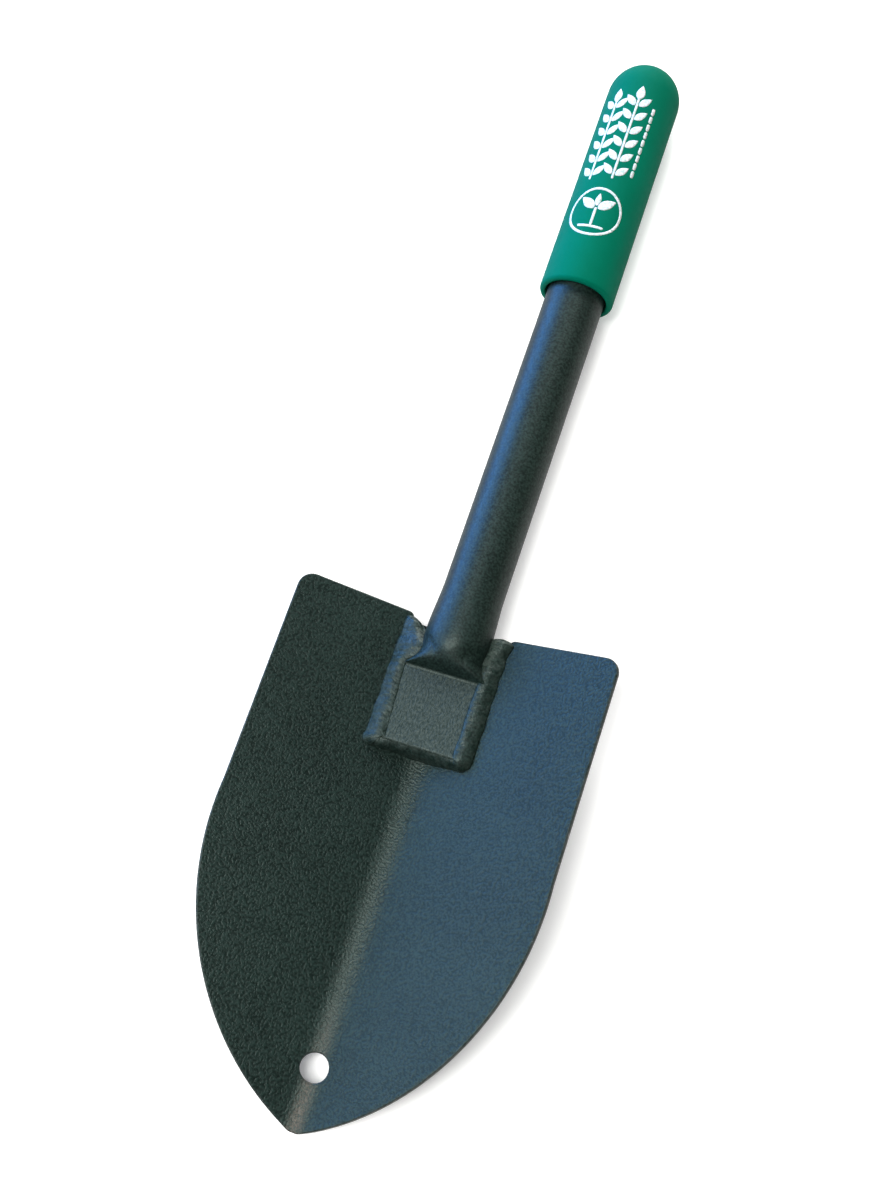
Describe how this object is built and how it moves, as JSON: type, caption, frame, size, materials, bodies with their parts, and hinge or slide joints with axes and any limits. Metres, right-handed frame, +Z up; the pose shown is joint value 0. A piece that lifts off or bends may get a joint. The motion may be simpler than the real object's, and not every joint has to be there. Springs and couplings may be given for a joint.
{
  "type": "hand trowel",
  "caption": "Garden hand trowel: steel blade folded into a shallow V with a hanging hole, welded tube handle pressed flat at the joint, and a domed vinyl grip.",
  "frame": {"origin": "halfway along the tool, on its symmetry plane, at the height of the grip's underside", "axes": "+Y along the handle from the blade's tip to the grip, +X to the right, +Z up out of the blade's valley"},
  "size_m": [0.1166, 0.418, 0.0287],
  "materials": {
    "blade_coat": "fine-textured satin coat on steel plate",
    "tube_coat": "satin coat on steel tube",
    "weld_coat": "satin coat over a rippled weld bead",
    "grip_vinyl": "soft satin vinyl",
    "print_ink": "pad-printed white ink"
  },
  "bodies": {
    "root": {"blade": "blade_coat", "handle_tube": "tube_coat", "grip": "grip_vinyl", "weld_left": "weld_coat", "weld_right": "weld_coat", "weld_end": "weld_coat"}
  },
  "joints": []
}
